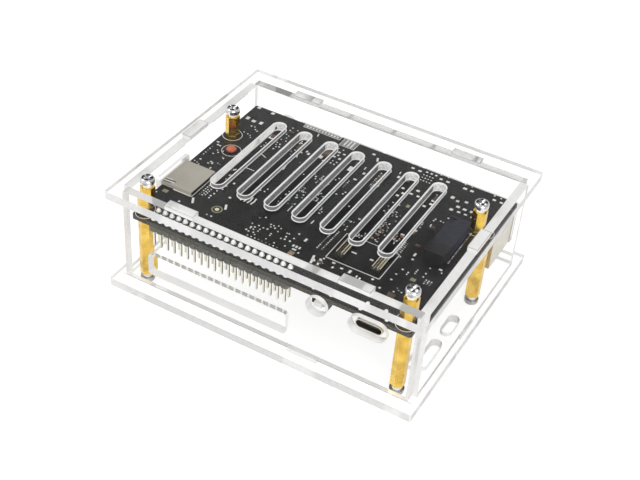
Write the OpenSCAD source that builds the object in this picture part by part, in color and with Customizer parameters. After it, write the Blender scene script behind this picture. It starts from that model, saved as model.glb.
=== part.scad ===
// Clear case for a single board computer: two plates and four walls cut from acrylic sheet,
// clamped by screws and brass standoffs, with the board held upside down between them.
// The origin is under the middle of the case, on the plane of the bottom screw heads.

/* [Case] */
// Thickness of the acrylic sheet
sheet_t = 3; // [2:0.5:4]
// How far the plates stand out beyond the side walls
side_flange = 1.8; // [0:0.1:10]
// How far the plates stand out beyond the front and back walls
front_flange = 4.4; // [0:0.1:12]
// Corner radius of the plates
plate_r = 0.6; // [0.4:0.1:5]
// Gap between the board's ends and the side walls
end_gap = 0.75; // [0.7:0.05:3]
// Gap between the board's long edges and the walls
edge_gap = 0.6; // [0.6:0.1:3]
// How much of a side wall's thickness the front and back walls cover
wall_lap = 1.4; // [0.5:0.1:2]

/* [Tabs] */
// Length of each tab that locks a wall in a plate
tab_l = 10; // [6:0.5:14]
// Clearance round a tab in its slot
tab_gap = 0.1; // [0.05:0.05:0.3]
// Distance of the long walls' tabs from the middle
tab_x = 30.3; // [26:0.1:34]
// Place of the front wall's single lower tab
front_low_tab_x = 15; // [14:0.5:20]

/* [Vents] */
// Number of vents in the top plate
vent_n = 7; // [3:1:8]
// Distance from one vent to the next
vent_pitch = 9.9; // [7:0.1:11]
// Width of a vent
vent_w = 4.4; // [3:0.1:5]
// Length of a vent, end to end
vent_l = 41.2; // [20:0.2:50]
// Place of the vents' middle, front to back
vent_y = -1.3; // [-5:0.1:5]

/* [Slots in the bottom plate] */
// Width of the two slots beside the right wall
slot_w = 3.8; // [2:0.1:4]
// Length of the slot nearer the middle
slot_l = 9.3; // [5:0.1:12]
// Place of its middle, front to back
slot_y = -1.9; // [-3:0.1:3]
// Length of the slot nearer the front
front_slot_l = 14; // [5:0.1:14]
// Distance between the two slots, end to end
slot_space = 3.9; // [3:0.1:6]

/* [Board] */
// Length of the board
board_l = 98.5; // [96:0.5:110]
// Depth of the board
board_w = 72; // [70:0.5:80]
// Thickness of the board
board_t = 1.6; // [1.2:0.1:2]
// Corner radius of the board
board_r = 1; // [0.5:0.5:3]
// Shift of the board to the left of the case's middle
board_shift = 0.65; // [0:0.05:0.65]
// Distance of the mounting holes from the board's ends
hole_in_x = 3.2; // [2.5:0.1:3.5]
// Distance of the front mounting holes from the board's front edge
hole_in_y = 3.1; // [2.9:0.1:3.3]
// Distance of the back mounting holes from the board's back edge
hole_back = 20.6; // [20.4:0.1:23]

/* [Standoffs and screws] */
// Length of the lower standoffs
lower_l = 22.6; // [21:0.1:30]
// Length of the upper standoffs
upper_l = 8; // [7:0.1:14]
// Width of a standoff across its flats
hex_w = 4.2; // [4:0.1:4.4]
// Diameter of the screws and studs
thread_d = 2.5; // [2:0.1:2.6]
// Clearance round a screw in a plate or in the board
hole_gap = 0.2; // [0.1:0.05:0.3]
// Clearance round a thread in its standoff
thread_gap = 0.05; // [0.02:0.01:0.1]
// Diameter of a screw head
head_d = 4.7; // [4.4:0.1:6]
// Height of a screw head
head_h = 1.9; // [1.5:0.1:2.4]
// Length of a screw below its head
screw_l = 6; // [5:0.5:6.5]
// Length of the stud on a lower standoff
stud_l = 4.4; // [3:0.1:4.5]

/* [Pin header] */
// Share of the board's length that the header takes
header_part = 0.52; // [0.3:0.01:0.52]
// Distance from pin to pin
pin_pitch = 2.54; // [2:0.01:2.54]
// Width of a pin
pin_w = 0.64; // [0.5:0.02:0.7]
// Distance of the header's middle from the board's front edge
header_in = 3.1; // [2.9:0.1:3.3]
// Gap between the header and the standoff at its left end
header_gap = 0.8; // [0.4:0.1:2]
// Height of the header's plastic base
header_h = 2.54; // [2:0.02:3]
// Length of the pins below the base
pin_free = 6.4; // [4:0.1:8]
// Length of the pins above the board
pin_up = 1; // [0.5:0.1:1.5]

/* [Front openings] */
// Distance of the window's left edge from the header's left end
window_in = 1.4; // [-1:0.1:2]
// How far the window runs past the header's right end
window_out = 1.7; // [0:0.1:2]
// Height of the header's window
window_h = 8.4; // [4:0.1:10]
// Height of the window above the bottom plate
window_up = 4.7; // [3:0.1:6]
// Distance of the push button from the board's right end
button_in = 30.2; // [27:0.1:31]
// Diameter of the button's hole
button_hole_d = 7; // [5:0.1:8]
// Distance of the power socket from the board's right end
power_in = 13; // [12:0.1:15]
// Width of the power socket's hole
power_hole_w = 12.8; // [11:0.1:13]
// Height of the power socket's hole
power_hole_h = 7; // [5:0.1:7]

/* [Sockets] */
// Width of the memory card socket
card_w = 14; // [13:0.1:15]
// Length of the memory card socket
card_l = 11.5; // [11:0.1:14]
// Height of the memory card socket
card_h = 1.3; // [1.2:0.1:2.2]
// Place of the memory card socket, front to back
card_y = -14.1; // [-16:0.1:-12]
// Clearance round the card socket in its window
card_gap = 1.6; // [0.5:0.1:2]
// Width of the card-edge socket
edge_w = 6.7; // [6:0.1:6.8]
// Length of the card-edge socket
edge_l = 20.2; // [18:0.1:20.2]
// Height of the card-edge socket
edge_h = 4.2; // [3:0.1:5]
// How far the rear sockets stand out of the board's back edge
rear_out = 1.4; // [0.7:0.1:3]
// Clearance round the rear sockets in the back wall
rear_gap = 0.4; // [0.3:0.1:1]

/* [Hidden] */
$fn = 48;
eps = 0.01;

// Inside of the case and its plates
room_l = board_l + 2 * end_gap;
room_w = board_w + 2 * edge_gap;
plate_l = room_l + 2 * sheet_t + 2 * side_flange;
plate_w = room_w + 2 * sheet_t + 2 * front_flange;
wall_l = room_l + 2 * wall_lap;

// Heights of the stack
floor_z = head_h + sheet_t;
board_z = floor_z + lower_l;
board_top = board_z + board_t;
lid_z = board_top + upper_l;
case_top = lid_z + sheet_t;

// Places on the board
board_x = -board_shift;
hole_x = board_l / 2 - hole_in_x;
hole_y0 = -board_w / 2 + hole_in_y;
hole_y1 = board_w / 2 - hole_back;
corners = [[-hole_x, hole_y0], [hole_x, hole_y0], [-hole_x, hole_y1], [hole_x, hole_y1]];
corner_names = ["front_left", "front_right", "back_left", "back_right"];
header_y = -board_w / 2 + header_in;
board_end = board_x + board_l / 2;

// The sockets and chips were laid out on a board of this size, and follow the board when it changes
plan_l = 98.5;
plan_w = 72;
plan = [board_l / plan_l, board_w / plan_w, 1];
function on_plan(v) = [for (i = [0 : len(v) - 1]) v[i] * plan[i % 2]];

// Header, window, button and power socket along the front
pin_n = floor(board_l * header_part / pin_pitch);
header_l = pin_n * pin_pitch;
header_x0 = board_x - board_l / 2 + hole_in_x + hex_w / 2 + header_gap;
header_x = header_x0 + header_l / 2;
window_x0 = header_x0 + window_in;
window_x1 = header_x0 + header_l + window_out;
button_x = board_end - button_in;
power_x = board_end - power_in;

// Small sizes
vent_x = 0.4;
window_r = 1.2;
socket_t = 0.3;
touch = 0.02;
seat_gap = 0.03;

// Power socket and button, both hung under the board's front edge
power_w = 9;
power_h = 3.2;
power_d = 8;
power_out = 2.4;
power_z = board_z - power_h / 2;
button_w = 6;
button_h = 3.4;
button_d = 3.6;
button_z = board_z - button_h / 2;
plunger_w = 2.6;
plunger_h = 1.5;
plunger_out = 1.9;
plunger_flange = 0.6;
button_front = -board_w / 2 - 0.3;
button_lip = 0.7;
button_travel = 0.3;
slide_gap = 0.1;

// Rear sockets: width, height and depth of each, and where each one's middle is
jack_size = [16 * plan.x, 13.5, 17.9];
serial_size = [13.2 * plan.x, 15.6, 17.4];
video_size = [15 * plan.x, 5.6, 11.5];
audio_size = [6.4 * plan.x, 5.4, 12];
jack_x = 39.9 * plan.x;
serial_x = [23.2 * plan.x, 8.2 * plan.x];
video_x = [-7.9 * plan.x, -24.7 * plan.x];
audio_x = -37.6 * plan.x;
rear_y = board_w / 2 + rear_out;
jack_mouth_w = jack_size.x * 0.75;

// Outline of a rectangle with round corners, centred
module round_box(size, r) {
    square([size.x - 2 * r, size.y], center = true);
    square([size.x, size.y - 2 * r], center = true);
    for (sx = [-1, 1], sy = [-1, 1])
        translate([sx * (size.x / 2 - r), sy * (size.y / 2 - r)]) circle(r);
}

// Outline of a slot with round ends, along the longer side
module stadium(size) {
    r = min(size.x, size.y) / 2;
    dx = size.x / 2 - r;
    dy = size.y / 2 - r;
    square([max(2 * dx, size.x * (dy > 0 ? 1 : 0)), max(2 * dy, size.y * (dx > 0 ? 1 : 0))], center = true);
    for (s = [-1, 1]) translate([s * dx, s * dy]) circle(r);
}

// Places that children at each mounting hole
module at_holes() {
    for (p = corners) translate([board_x + p.x, p.y, 0]) children();
}

// Slots in a plate for the tabs of the four walls
module tab_slots(front, back, side) {
    l = tab_l + 2 * tab_gap;
    t = sheet_t + 2 * tab_gap;
    for (x = front) translate([x, -room_w / 2 - sheet_t / 2]) square([l, t], center = true);
    for (x = back) translate([x, room_w / 2 + sheet_t / 2]) square([l, t], center = true);
    for (sx = [-1, 1], y = side)
        translate([sx * (room_l + sheet_t) / 2, y]) square([t, l], center = true);
}

// Outline of a wall with its upper and lower tabs, a hair clear of the plates
module wall_outline(l, up, low) {
    translate([-l / 2, floor_z + seat_gap]) square([l, lid_z - floor_z - 2 * seat_gap]);
    for (x = up) translate([x - tab_l / 2, lid_z - 1]) square([tab_l, sheet_t + 1]);
    for (x = low) translate([x - tab_l / 2, head_h]) square([tab_l, sheet_t + 1]);
}

module bottom_plate() {
    color([0.93, 0.95, 0.97, 0.4])
    translate([0, 0, head_h]) linear_extrude(sheet_t) difference() {
        round_box([plate_l, plate_w], plate_r);
        at_holes() circle(thread_d / 2 + hole_gap);
        tab_slots([front_low_tab_x], [-tab_x, tab_x], [0]);
        translate([board_x + hole_x, slot_y]) stadium([slot_w, slot_l]);
        translate([board_x + hole_x, slot_y - slot_l / 2 - slot_space - front_slot_l / 2])
            stadium([slot_w, front_slot_l]);
    }
}

module top_plate() {
    color([0.93, 0.95, 0.97, 0.4])
    translate([0, 0, lid_z]) linear_extrude(sheet_t) difference() {
        round_box([plate_l, plate_w], plate_r);
        at_holes() circle(thread_d / 2 + hole_gap);
        tab_slots([-tab_x, tab_x], [-tab_x, tab_x], [0]);
        for (i = [0 : vent_n - 1])
            translate([vent_x + (i - (vent_n - 1) / 2) * vent_pitch, vent_y]) stadium([vent_w, vent_l]);
    }
}

module front_wall() {
    color([0.93, 0.95, 0.97, 0.4])
    translate([0, -room_w / 2, 0]) rotate([90, 0, 0]) linear_extrude(sheet_t) difference() {
        wall_outline(wall_l, [-tab_x, tab_x], [front_low_tab_x]);
        translate([(window_x0 + window_x1) / 2, floor_z + window_up + window_h / 2])
            round_box([window_x1 - window_x0, window_h], window_r);
        translate([button_x, button_z]) circle(button_hole_d / 2);
        translate([power_x, power_z]) stadium([power_hole_w, power_hole_h]);
    }
}

// Opening for a rear socket of a given width and height that hangs under the board
module rear_opening(x, size) {
    translate([x, board_z - size.y / 2])
        round_box([size.x + 2 * rear_gap, size.y + 2 * rear_gap], rear_gap);
}

module back_wall() {
    color([0.93, 0.95, 0.97, 0.4])
    translate([0, room_w / 2 + sheet_t, 0]) rotate([90, 0, 0]) linear_extrude(sheet_t) difference() {
        wall_outline(wall_l, [-tab_x, tab_x], [-tab_x, tab_x]);
        rear_opening(jack_x, jack_size);
        for (x = serial_x) rear_opening(x, serial_size);
        for (x = video_x) rear_opening(x, video_size);
        translate([audio_x, board_z - audio_size.y / 2]) circle(audio_size.x / 2 + rear_gap);
    }
}

module left_wall() {
    color([0.93, 0.95, 0.97, 0.4])
    translate([-room_l / 2 - sheet_t, 0, 0]) rotate([90, 0, 90]) linear_extrude(sheet_t) difference() {
        wall_outline(room_w - 2 * seat_gap, [0], [0]);
        translate([card_y, board_top + card_h / 2 + 0.2])
            round_box([card_w + 2 * card_gap, card_h + 2 * card_gap], window_r);
    }
}

module right_wall() {
    color([0.93, 0.95, 0.97, 0.4])
    translate([room_l / 2, 0, 0]) rotate([90, 0, 90]) linear_extrude(sheet_t)
        wall_outline(room_w - 2 * seat_gap, [0], [0]);
}

// Hexagonal spacer with flats facing left and right
module hex_bar(l) {
    rotate([0, 0, 30]) cylinder(d = hex_w / cos(30), h = l, $fn = 6);
}

module lower_standoff(i) {
    color("goldenrod")
    translate([board_x + corners[i].x, corners[i].y, floor_z]) {
        difference() {
            translate([0, 0, seat_gap]) hex_bar(lower_l - seat_gap);
            translate([0, 0, -eps]) cylinder(d = thread_d + 2 * thread_gap, h = screw_l + eps);
        }
        translate([0, 0, lower_l - eps]) cylinder(d = thread_d, h = stud_l + eps);
    }
}

module upper_standoff(i) {
    color("goldenrod")
    translate([board_x + corners[i].x, corners[i].y, board_top]) difference() {
        hex_bar(upper_l - seat_gap);
        translate([0, 0, -eps]) cylinder(d = thread_d + 2 * thread_gap, h = upper_l + 2 * eps);
    }
}

// Pan head screw standing on its head, with a cross recess in the head
module screw() {
    recess_w = head_h * 0.5;
    recess_l = head_d * 0.7;
    edge_r = head_h * 0.45;
    seat_h = head_h - seat_gap;
    difference() {
        union() {
            rotate_extrude() {
                square([head_d / 2 - edge_r, seat_h]);
                translate([0, edge_r]) square([head_d / 2, seat_h - edge_r]);
                translate([head_d / 2 - edge_r, edge_r]) circle(edge_r);
            }
            translate([0, 0, seat_h - eps]) cylinder(d = thread_d, h = screw_l + seat_gap + eps);
        }
        for (a = [0, 90]) rotate([0, 0, a + 20])
            translate([-recess_l / 2, -recess_w / 2, -eps]) cube([recess_l, recess_w, head_h * 0.6]);
    }
}

module bottom_screws() {
    color("silver") at_holes() screw();
}

module top_screws() {
    color("silver") translate([0, 0, case_top + head_h]) at_holes() rotate([180, 0, 0]) screw();
}

// Runs through the header's pins
module at_pins() {
    for (i = [0 : pin_n - 1], row = [-0.5, 0.5])
        translate([header_x + (i - (pin_n - 1) / 2) * pin_pitch, header_y + row * pin_pitch, 0])
            children();
}

module circuit_board() {
    color([0.1, 0.1, 0.1])
    translate([0, 0, board_z]) linear_extrude(board_t) difference() {
        translate([board_x, 0]) round_box([board_l, board_w], board_r);
        at_holes() circle(thread_d / 2 + hole_gap);
        at_pins() circle(pin_w * 0.8);
    }
}

// One cell of the header's base, with its outer corners cut off
module header_cell() {
    c = pin_pitch * 0.22;
    w = pin_pitch / 2 + touch;
    d = pin_pitch;
    polygon([[-w, -d + c], [-w + c, -d], [w - c, -d], [w, -d + c],
             [w, d - c], [w - c, d], [-w + c, d], [-w, d - c]]);
}

module header_base() {
    color([0.16, 0.16, 0.15])
    translate([0, 0, board_z - header_h]) linear_extrude(header_h) difference() {
        for (i = [0 : pin_n - 1])
            translate([header_x + (i - (pin_n - 1) / 2) * pin_pitch, header_y]) header_cell();
        at_pins() square(pin_w + 2 * touch, center = true);
    }
}

// Square pin with a blunt point at both ends
module pin(l) {
    tip = pin_w * 0.6;
    half = pin_w / 2;
    side = [[-half, tip], [-half * 0.5, 0], [half * 0.5, 0], [half, tip],
            [half, l - tip], [half * 0.5, l], [-half * 0.5, l], [-half, l - tip]];
    intersection() {
        translate([0, half, 0]) rotate([90, 0, 0]) linear_extrude(pin_w) polygon(side);
        translate([-half, 0, 0]) rotate([90, 0, 90]) linear_extrude(pin_w) polygon(side);
    }
}

module header_pins() {
    color([0.82, 0.75, 0.55])
    translate([0, 0, board_z - header_h - pin_free])
        at_pins() pin(pin_free + header_h + board_t + pin_up);
}

module power_shell() {
    color("silver")
    translate([power_x, -board_w / 2 - power_out + power_d, power_z]) rotate([90, 0, 0]) difference() {
        linear_extrude(power_d) stadium([power_w, power_h]);
        translate([0, 0, socket_t]) linear_extrude(power_d)
            stadium([power_w - 2 * socket_t, power_h - 2 * socket_t]);
    }
}

module power_tongue() {
    tongue_w = power_w * 0.74;
    tongue_t = power_h * 0.22;
    back_d = power_d * 0.25;
    seat_t = socket_t + touch;
    color([0.08, 0.08, 0.08])
    translate([power_x, -board_w / 2 - power_out + power_d - socket_t, power_z]) rotate([90, 0, 0]) {
        linear_extrude(back_d) stadium([power_w - 2 * seat_t, power_h - 2 * seat_t]);
        linear_extrude(power_d - 1.2) square([tongue_w, tongue_t], center = true);
    }
}

module button_body() {
    color([0.15, 0.15, 0.15])
    translate([button_x, button_front, button_z]) difference() {
        translate([-button_w / 2, 0, -button_h / 2]) cube([button_w, button_d, button_h]);
        translate([-plunger_w / 2 - slide_gap, -eps, -plunger_h / 2 - slide_gap])
            cube([plunger_w + 2 * slide_gap, button_lip + 2 * eps, plunger_h + 2 * slide_gap]);
        translate([-plunger_w / 2 - plunger_flange - slide_gap, button_lip, -plunger_h / 2 - slide_gap])
            cube([plunger_w + 2 * plunger_flange + 2 * slide_gap,
                  plunger_flange + button_travel + 4 * slide_gap, plunger_h + 2 * slide_gap]);
    }
}

module button_plunger() {
    color([0.92, 0.92, 0.9])
    translate([button_x, button_front, button_z]) {
        translate([-plunger_w / 2, -plunger_out, -plunger_h / 2])
            cube([plunger_w, plunger_out + button_lip + slide_gap + plunger_flange, plunger_h]);
        translate([-plunger_w / 2 - plunger_flange, button_lip + slide_gap, -plunger_h / 2])
            cube([plunger_w + 2 * plunger_flange, plunger_flange, plunger_h]);
    }
}

// Left end of the card socket, just past the board's edge
card_x0 = board_x - board_l / 2 - 0.3;

module card_shell() {
    color([0.72, 0.7, 0.66])
    translate([card_x0, card_y, board_top]) difference() {
        translate([0, -card_w / 2, 0]) cube([card_l, card_w, card_h]);
        translate([-eps, -card_w / 2 + socket_t, -eps])
            cube([card_l + 2 * eps, card_w - 2 * socket_t, card_h - socket_t + eps]);
    }
}

module card_body() {
    base_h = 0.5;
    back_l = 2;
    inner_w = card_w - 2 * socket_t - 2 * touch;
    color([0.1, 0.1, 0.1])
    translate([card_x0, card_y, board_top]) {
        translate([0.4, -inner_w / 2, 0]) cube([card_l - 0.6, inner_w, base_h]);
        translate([card_l - back_l, -inner_w / 2, 0])
            cube([back_l - 0.2, inner_w, card_h - socket_t - touch]);
    }
}

// Left front corner of the card-edge socket, which ends just before the standoff behind it
edge_in = 1.5;
edge_gap_y = 0.1;
edge_x0 = board_x + hole_x - edge_in - edge_w;
edge_y0 = hole_y1 - hex_w / 2 / cos(30) - edge_gap_y - edge_l;

module edge_socket() {
    slot_h = 1;
    slot_d = edge_w * 0.6;
    key_w = 1.2;
    color([0.13, 0.14, 0.24])
    translate([edge_x0, edge_y0, board_top]) difference() {
        cube([edge_w, edge_l, edge_h]);
        translate([-eps, 0.8, edge_h * 0.5]) cube([slot_d, edge_l * 0.22 - 0.8, slot_h]);
        translate([-eps, edge_l * 0.22 + key_w, edge_h * 0.5])
            cube([slot_d, edge_l * 0.78 - key_w - 0.8, slot_h]);
        translate([-eps, 1, edge_h - 0.6]) cube([edge_w * 0.35, edge_l - 2, 0.6 + eps]);
    }
}

// Two sockets for a small plug-in module, each with a ridge between two rows of contacts
module_x = [15.3 * plan.x, 27.7 * plan.x];
module_y = -15.6 * plan.y;
socket_l = 11;
socket_w = 2.9;
socket_h = 1;
groove_w = 0.55;
contact_pitch = 0.8;
contact_n = 12;

module module_socket(x) {
    color([0.12, 0.11, 0.1])
    translate([x, module_y, board_top]) difference() {
        translate([-socket_w / 2, -socket_l / 2, 0]) cube([socket_w, socket_l, socket_h]);
        for (s = [-1, 1]) translate([s * socket_w * 0.22 - groove_w / 2, -socket_l / 2 + 0.5, socket_h * 0.3])
            cube([groove_w, socket_l - 1, socket_h]);
    }
}

module module_contacts() {
    color("gold")
    for (x = module_x, s = [-1, 1], i = [0 : contact_n - 1])
        translate([x + s * socket_w * 0.22 - groove_w / 2 + touch,
                   module_y + (i - (contact_n - 1) / 2) * contact_pitch - contact_pitch * 0.25,
                   board_top + socket_h * 0.3])
            cube([groove_w - 2 * touch, contact_pitch * 0.5, socket_h * 0.45]);
}

round_d = 3.8;
round_h = 1;
round_in = 8;
round_y = 7.4 * plan.y;

module round_capacitor() {
    color([0.85, 0.3, 0.15])
    translate([board_x - board_l / 2 + round_in, round_y, board_top]) {
        cylinder(d = round_d, h = round_h);
        translate([0, 0, round_h - eps]) cylinder(d = round_d * 0.84, h = round_h / 2 + eps);
    }
}

// Small parts on the upper side: place and size of each, in groups that follow the board's layout
chip_spots = [
    [-35.2, 24.5, 2.4, 1.6], [-30.5, 28.2, 1.6, 0.8], [-24, 24, 3, 3], [-14.5, 26, 4, 3.2],
    [-3.5, 27, 2, 1.25], [7.5, 24.5, 3, 3], [14.5, 27.8, 1.6, 0.8], [27.5, 24.6, 2.4, 2.4],
    [33.4, 8, 1.6, 1.6], [33.2, -2.4, 1.6, 0.8], [11.9, -26.2, 1.6, 0.8], [12.1, -28.4, 1.6, 0.8],
    [22.5, -28.8, 2, 1.25], [36.8, -27.5, 2.4, 1.6], [42.2, -24.5, 1.6, 0.8], [-33, -27.4, 1.6, 0.8]
];

chip_h = 0.3;

module top_parts() {
    color([0.3, 0.26, 0.2])
    for (s = chip_spots) {
        c = on_plan(s);
        translate([c.x - c[2] / 2, c.y - c[3] / 2, board_top]) cube([c[2], c[3], chip_h + 0.2 * c[3]]);
    }
}

// Box that hangs under the board with its mouth in the back wall
module rear_block(x, size) {
    translate([x - size.x / 2, rear_y - size.z, board_z - size.y]) cube([size.x, size.z, size.y]);
}

module network_jack() {
    mouth_h = jack_size.y * 0.62;
    mouth_d = jack_size.z * 0.67;
    latch_w = jack_mouth_w * 0.35;
    mouth_up = jack_size.y * 0.27;
    latch_up = jack_size.y * 0.12;
    color([0.75, 0.74, 0.7])
    difference() {
        rear_block(jack_x, jack_size);
        translate([jack_x - jack_mouth_w / 2, rear_y - mouth_d, board_z - jack_size.y + mouth_up])
            cube([jack_mouth_w, mouth_d + eps, mouth_h]);
        translate([jack_x - latch_w / 2, rear_y - mouth_d, board_z - jack_size.y + latch_up])
            cube([latch_w, mouth_d + eps, mouth_up]);
    }
}

// Two stacked sockets in one shell, each mouth with its tongue
module serial_socket(x) {
    mouth_w = serial_size.x - 1.2;
    mouth_h = 5.4;
    mouth_d = 9;
    tongue_t = 1.8;
    color([0.75, 0.74, 0.7])
    difference() {
        rear_block(x, serial_size);
        for (z = [1, 9.2]) difference() {
            translate([x - mouth_w / 2, rear_y - mouth_d, board_z - serial_size.y + z])
                cube([mouth_w, mouth_d + eps, mouth_h]);
            translate([x - mouth_w / 2 + 0.6, rear_y - mouth_d - eps, board_z - serial_size.y + z + 2.9])
                cube([mouth_w - 1.2, mouth_d - 0.6, tongue_t]);
        }
    }
}

// Outline of a video socket's mouth: a trapezoid with its lower corners cut
module video_mouth(w, h) {
    c = h * 0.35;
    polygon([[-w / 2, h / 2], [w / 2, h / 2], [w / 2, -h / 2 + c], [w / 2 - c, -h / 2],
             [-w / 2 + c, -h / 2], [-w / 2, -h / 2 + c]]);
}

module video_socket(x) {
    mouth_d = 8;
    color([0.75, 0.74, 0.7])
    difference() {
        rear_block(x, video_size);
        translate([x, rear_y + eps, board_z - video_size.y / 2]) rotate([90, 0, 0]) difference() {
            linear_extrude(mouth_d) video_mouth(video_size.x - 1, video_size.y - 1);
            translate([0, 0, 1]) linear_extrude(mouth_d) square([video_size.x - 4, 1.4], center = true);
        }
    }
}

module audio_jack() {
    bore_d = 3.6;
    bore_l = 9;
    color([0.12, 0.12, 0.12])
    difference() {
        union() {
            translate([0, -rear_out - 0.4, 0]) rear_block(audio_x, audio_size - [0, 0, 1]);
            translate([audio_x, rear_y, board_z - audio_size.y / 2]) rotate([90, 0, 0])
                cylinder(d = audio_size.y - 0.4, h = 3);
        }
        translate([audio_x, rear_y + eps, board_z - audio_size.y / 2]) rotate([90, 0, 0])
            cylinder(d = bore_d, h = bore_l);
    }
}

// Chips on the underside: place, length, width and height of each, on the planned board
processor_spot = [-2, -2, 17, 17, 0.8];
processor_lid = [-2, -2, 13.5, 13.5, 1.4];
memory_spots = [[-17, -2, 10, 14.5, 1], [13, -2, 10, 14.5, 1]];
power_spot = [30, -12, 7, 7, 0.9];
coil_size = [4, 4, 2];
coil_spots = [[24, -20], [29, -20], [34, -20], [24, -5]];
small_size = [2, 1.25, 0.8];
small_spots = [[-40, -20], [-36, -20], [-40, -14], [-40, 2], [-36, 6], [36, -2], [36, 2], [20, 10], [24, 10]];

module under_chip(spot) {
    c = on_plan([for (i = [0 : 3]) spot[i]]);
    h = spot[4];
    translate([c.x - c[2] / 2, c.y - c[3] / 2, board_z - h]) cube([c[2], c[3], h]);
}

module processor() {
    color([0.2, 0.2, 0.22]) {
        under_chip(processor_spot);
        under_chip(processor_lid);
    }
}

module memory_chip(i) {
    color([0.1, 0.1, 0.1]) under_chip(memory_spots[i]);
}

module power_chip() {
    color([0.1, 0.1, 0.1]) under_chip(power_spot);
}

module coils() {
    color([0.25, 0.25, 0.25]) for (c = coil_spots) under_chip(concat(c, coil_size));
}

module under_parts() {
    color([0.35, 0.3, 0.22]) for (c = small_spots) under_chip(concat(c, small_size));
}

bottom_plate();
top_plate();
front_wall();
back_wall();
left_wall();
right_wall();
for (i = [0 : 3]) {
    lower_standoff(i);
    upper_standoff(i);
}
top_screws();
bottom_screws();
circuit_board();
header_base();
header_pins();
power_shell();
power_tongue();
button_body();
button_plunger();
card_shell();
card_body();
edge_socket();
module_socket(module_x[0]);  // module_socket_left
module_socket(module_x[1]);  // module_socket_right
module_contacts();
round_capacitor();
top_parts();
network_jack();
serial_socket(serial_x[0]);  // serial_socket_right
serial_socket(serial_x[1]);  // serial_socket_left
video_socket(video_x[0]);  // video_socket_right
video_socket(video_x[1]);  // video_socket_left
audio_jack();
processor();
memory_chip(0);  // memory_chip_left
memory_chip(1);  // memory_chip_right
power_chip();
coils();
under_parts();
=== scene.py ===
import math
import random

import bmesh
import bpy
from mathutils import Matrix, Vector


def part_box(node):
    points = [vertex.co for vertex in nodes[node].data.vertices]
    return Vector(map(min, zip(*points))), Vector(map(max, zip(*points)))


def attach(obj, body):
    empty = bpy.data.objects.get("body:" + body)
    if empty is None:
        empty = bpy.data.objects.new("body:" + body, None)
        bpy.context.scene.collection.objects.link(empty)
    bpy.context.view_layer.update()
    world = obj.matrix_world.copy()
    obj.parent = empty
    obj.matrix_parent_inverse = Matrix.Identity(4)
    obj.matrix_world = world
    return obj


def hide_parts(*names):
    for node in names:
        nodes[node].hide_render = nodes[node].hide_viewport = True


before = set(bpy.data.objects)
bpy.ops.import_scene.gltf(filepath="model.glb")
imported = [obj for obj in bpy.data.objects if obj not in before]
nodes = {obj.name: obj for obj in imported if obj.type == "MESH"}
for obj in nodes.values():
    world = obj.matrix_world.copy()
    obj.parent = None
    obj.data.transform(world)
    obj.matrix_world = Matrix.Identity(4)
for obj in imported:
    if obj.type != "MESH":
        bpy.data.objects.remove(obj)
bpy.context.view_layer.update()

scene = bpy.context.scene
mm = 0.001
scene.view_settings.view_transform = "Standard"


# Camera, as measured from the photo: place in mm, turn, tilt and roll in degrees
cameraLook = {
    "place": (133.4, -266.6, 258.8),
    "turn": -26.92,
    "tilt": -39.17,
    "roll": 4.68,
    "lens": 65.85,
    "sensor": 36.0,
}


def makeCamera(look):
    data = bpy.data.cameras.new("camera")
    data.lens = look["lens"]
    data.sensor_width = look["sensor"]
    data.clip_start = 0.01
    data.clip_end = 20
    cam = bpy.data.objects.new("camera", data)
    scene.collection.objects.link(cam)
    turn, tilt, roll = (math.radians(look[k]) for k in ("turn", "tilt", "roll"))
    forward = Vector((math.sin(turn) * math.cos(tilt), math.cos(turn) * math.cos(tilt), math.sin(tilt)))
    side = Vector((math.cos(turn), -math.sin(turn), 0))
    up = side.cross(forward)
    right = side * math.cos(roll) + up * math.sin(roll)
    top = up * math.cos(roll) - side * math.sin(roll)
    turned = Matrix((right, top, -forward)).transposed().to_4x4()
    cam.matrix_world = Matrix.Translation(Vector(look["place"]) * mm) @ turned
    scene.camera = cam


print("camera")
makeCamera(cameraLook)


# Studio: a white sweep, a sky that is white to the eye and shaded to the glass, and two soft lamps
studioLook = {
    "floorSize": 6.0,
    "floorColour": 0.32,
    "floorGlow": 0.86,
    "skyLow": 0.62,
    "skyHigh": 0.75,
    "cardTowards": (-0.35, 0.69, 0.63),
    "cardFade": (0.76, 0.93),
    "cardDark": 0.06,
    "sideFade": (0.10, 0.75),
    "sideDark": 0.75,
    "keyPower": 3.6,
    "keyPlace": (-0.70, -0.30, 0.80),
    "keySize": 0.55,
    "fillPower": 6.5,
    "fillPlace": (0.66, -0.72, 0.32),
    "fillSize": 0.60,
}


def newTree(name):
    mat = bpy.data.materials.new(name)
    mat.use_nodes = True
    mat.node_tree.nodes.clear()
    return mat, mat.node_tree.nodes, mat.node_tree.links


def add(tree, kind, **values):
    node = tree.new("ShaderNode" + kind)
    for key, value in values.items():
        setattr(node, key, value)
    return node


def seenDirectly(tree, links):
    # 1 for rays from the eye, off metal and through glass
    path = add(tree, "LightPath")
    total = None
    for name in ("Is Camera Ray", "Is Glossy Ray", "Is Transmission Ray"):
        if total is None:
            total = path.outputs[name]
            continue
        more = add(tree, "Math", operation="MAXIMUM")
        links.new(total, more.inputs[0])
        links.new(path.outputs[name], more.inputs[1])
        total = more.outputs[0]
    return total


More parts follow.
